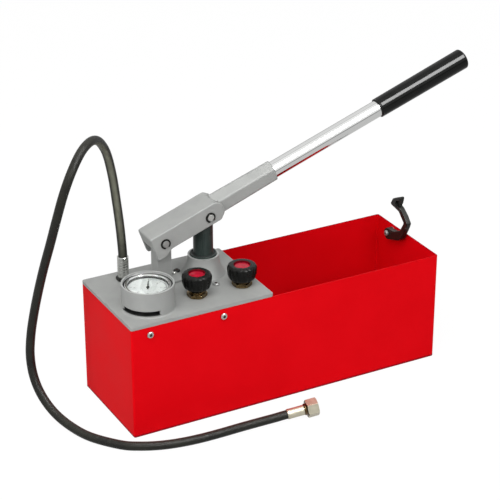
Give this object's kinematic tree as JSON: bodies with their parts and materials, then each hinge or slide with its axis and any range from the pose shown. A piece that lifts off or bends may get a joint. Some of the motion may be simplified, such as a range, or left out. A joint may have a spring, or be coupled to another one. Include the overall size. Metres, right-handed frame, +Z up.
{
  "type": "hand-operated hydrostatic test pump",
  "caption": "Hand test pump on an open red water tank: lever with black grip, gauge in a guard ring, fluted valve knobs, latch hook, and a pressure hose with a hexagonal union nut.",
  "frame": {"origin": "the middle of the tank's base, on the floor", "axes": "+X along the tank, from the pump head to the latch hook; +Y to the back, away from the valves and the gauge; +Z up"},
  "size_m": [0.7257, 0.2558, 0.4498],
  "materials": {
    "red_paint": "glossy red paint on sheet steel",
    "grey_casting": "satin grey enamel on a casting",
    "bare_casting": "plain machined casting",
    "chrome": "bright chrome plate",
    "bright_steel": "bright zinc-plated steel",
    "dark_steel": "blackened steel",
    "piston_grey": "dark ground steel",
    "black_plastic": "glossy black moulding",
    "red_plastic": "glossy red moulding",
    "black_rubber": "matt black rubber",
    "brass": "dull machined brass",
    "nickel": "warm nickel plate",
    "dial_white": "matt white printed dial",
    "clear_glass": "clear glass"
  },
  "bodies": {
    "base": {"tank": "red_paint", "cover_plate": "grey_casting", "lever_post": "grey_casting", "pump_body": "bare_casting", "gauge_bezel": "chrome", "plate_screw_front_left": "bright_steel", "plate_screw_front_right": "bright_steel", "plate_screw_back_left": "bright_steel", "plate_screw_back_right": "bright_steel", "body_screw_right": "bright_steel", "post_screw_front": "bright_steel", "post_screw_back": "bright_steel", "pump_barrel": "bright_steel", "foot_valve": "bright_steel", "suction_pipe": "bright_steel", "suction_ball": "bright_steel", "delivery_pipe": "bright_steel", "delivery_ball": "bright_steel", "gauge_case": "bright_steel", "hose_ferrule": "bright_steel", "hook_washer": "bright_steel", "hook_screw": "bright_steel", "hook_nut": "bright_steel", "body_screw_left": "dark_steel", "guide_collar": "dark_steel", "hose_fitting": "dark_steel", "hose": "black_rubber", "piston_wiper": "black_rubber", "union_gasket": "black_rubber", "gauge_stem": "brass", "gauge_movement": "brass", "bourdon_tube": "brass", "suction_strainer": "brass", "pressure_valve_bonnet": "brass", "release_valve_bonnet": "brass", "hose_end_ferrule": "nickel", "hose_nipple": "nickel", "gauge_dial": "dial_white", "gauge_glass": "clear_glass"},
    "piston": {"piston": "piston_grey", "piston_eye": "piston_grey", "piston_seal": "black_rubber", "seal_nut": "bright_steel"},
    "lever": {"lever_head": "grey_casting", "lever_tube": "chrome", "lever_grip": "black_plastic", "tube_set_screw": "dark_steel", "pivot_pin": "bright_steel", "pivot_pin_ring": "dark_steel", "piston_pin": "bright_steel", "piston_pin_ring": "dark_steel"},
    "gauge_pointer": {"gauge_pointer": "black_plastic"},
    "pressure_valve_spindle": {"pressure_valve_spindle": "bright_steel"},
    "pressure_valve_knob": {"pressure_valve_knob": "black_plastic", "pressure_valve_cap": "red_plastic"},
    "release_valve_spindle": {"release_valve_spindle": "bright_steel"},
    "release_valve_knob": {"release_valve_knob": "black_plastic", "release_valve_cap": "red_plastic"},
    "latch_hook": {"latch_hook": "dark_steel"},
    "union_nut": {"union_nut": "brass"}
  },
  "joints": [
    {"name": "lever", "type": "hinge", "parent": "base", "child": "lever", "pos_m": [-0.157, 0.025, 0.249], "axis": [0, -1, 0], "range_deg": [-20, 15]},
    {"name": "piston_stroke", "type": "slide", "parent": "base", "child": "piston", "axis": [0, 0, 1], "range_m": [-0.0258, 0.0194]},
    {"name": "pressure_valve", "type": "hinge", "parent": "pressure_valve_spindle", "child": "pressure_valve_knob", "pos_m": [-0.129, -0.039, 0.1882], "axis": [0, 0, 1], "range_deg": [-720, 0]},
    {"name": "pressure_valve_lift", "type": "slide", "parent": "base", "child": "pressure_valve_spindle", "axis": [0, 0, 1], "range_m": [-0.003, 0]},
    {"name": "release_valve", "type": "hinge", "parent": "release_valve_spindle", "child": "release_valve_knob", "pos_m": [-0.056, -0.0395, 0.1882], "axis": [0, 0, 1], "range_deg": [0, 720]},
    {"name": "release_valve_lift", "type": "slide", "parent": "base", "child": "release_valve_spindle", "axis": [0, 0, 1], "range_m": [0, 0.003]},
    {"name": "gauge_pointer", "type": "hinge", "parent": "base", "child": "gauge_pointer", "pos_m": [-0.205, -0.036, 0.2075], "axis": [0, 0, -1], "range_deg": [0, 270], "stiffness_Nm_per_rad": 0.0005},
    {"name": "latch_hook", "type": "hinge", "parent": "base", "child": "latch_hook", "pos_m": [0.2473, 0.0395, 0.1615], "axis": [1, 0, 0], "range_deg": [0, 90]},
    {"name": "union_nut", "type": "hinge", "parent": "base", "child": "union_nut", "pos_m": [0.0023, -0.1537, 0.0159], "axis": [0.9659, -0.2149, 0.1441], "continuous": true}
  ],
  "couplings": [
    {"joint": "piston_stroke", "follows": "lever", "m_per_rad": 0.0725},
    {"joint": "pressure_valve", "follows": "pressure_valve_lift", "rad_per_m": 4188.8},
    {"joint": "release_valve", "follows": "release_valve_lift", "rad_per_m": 4188.8}
  ]
}
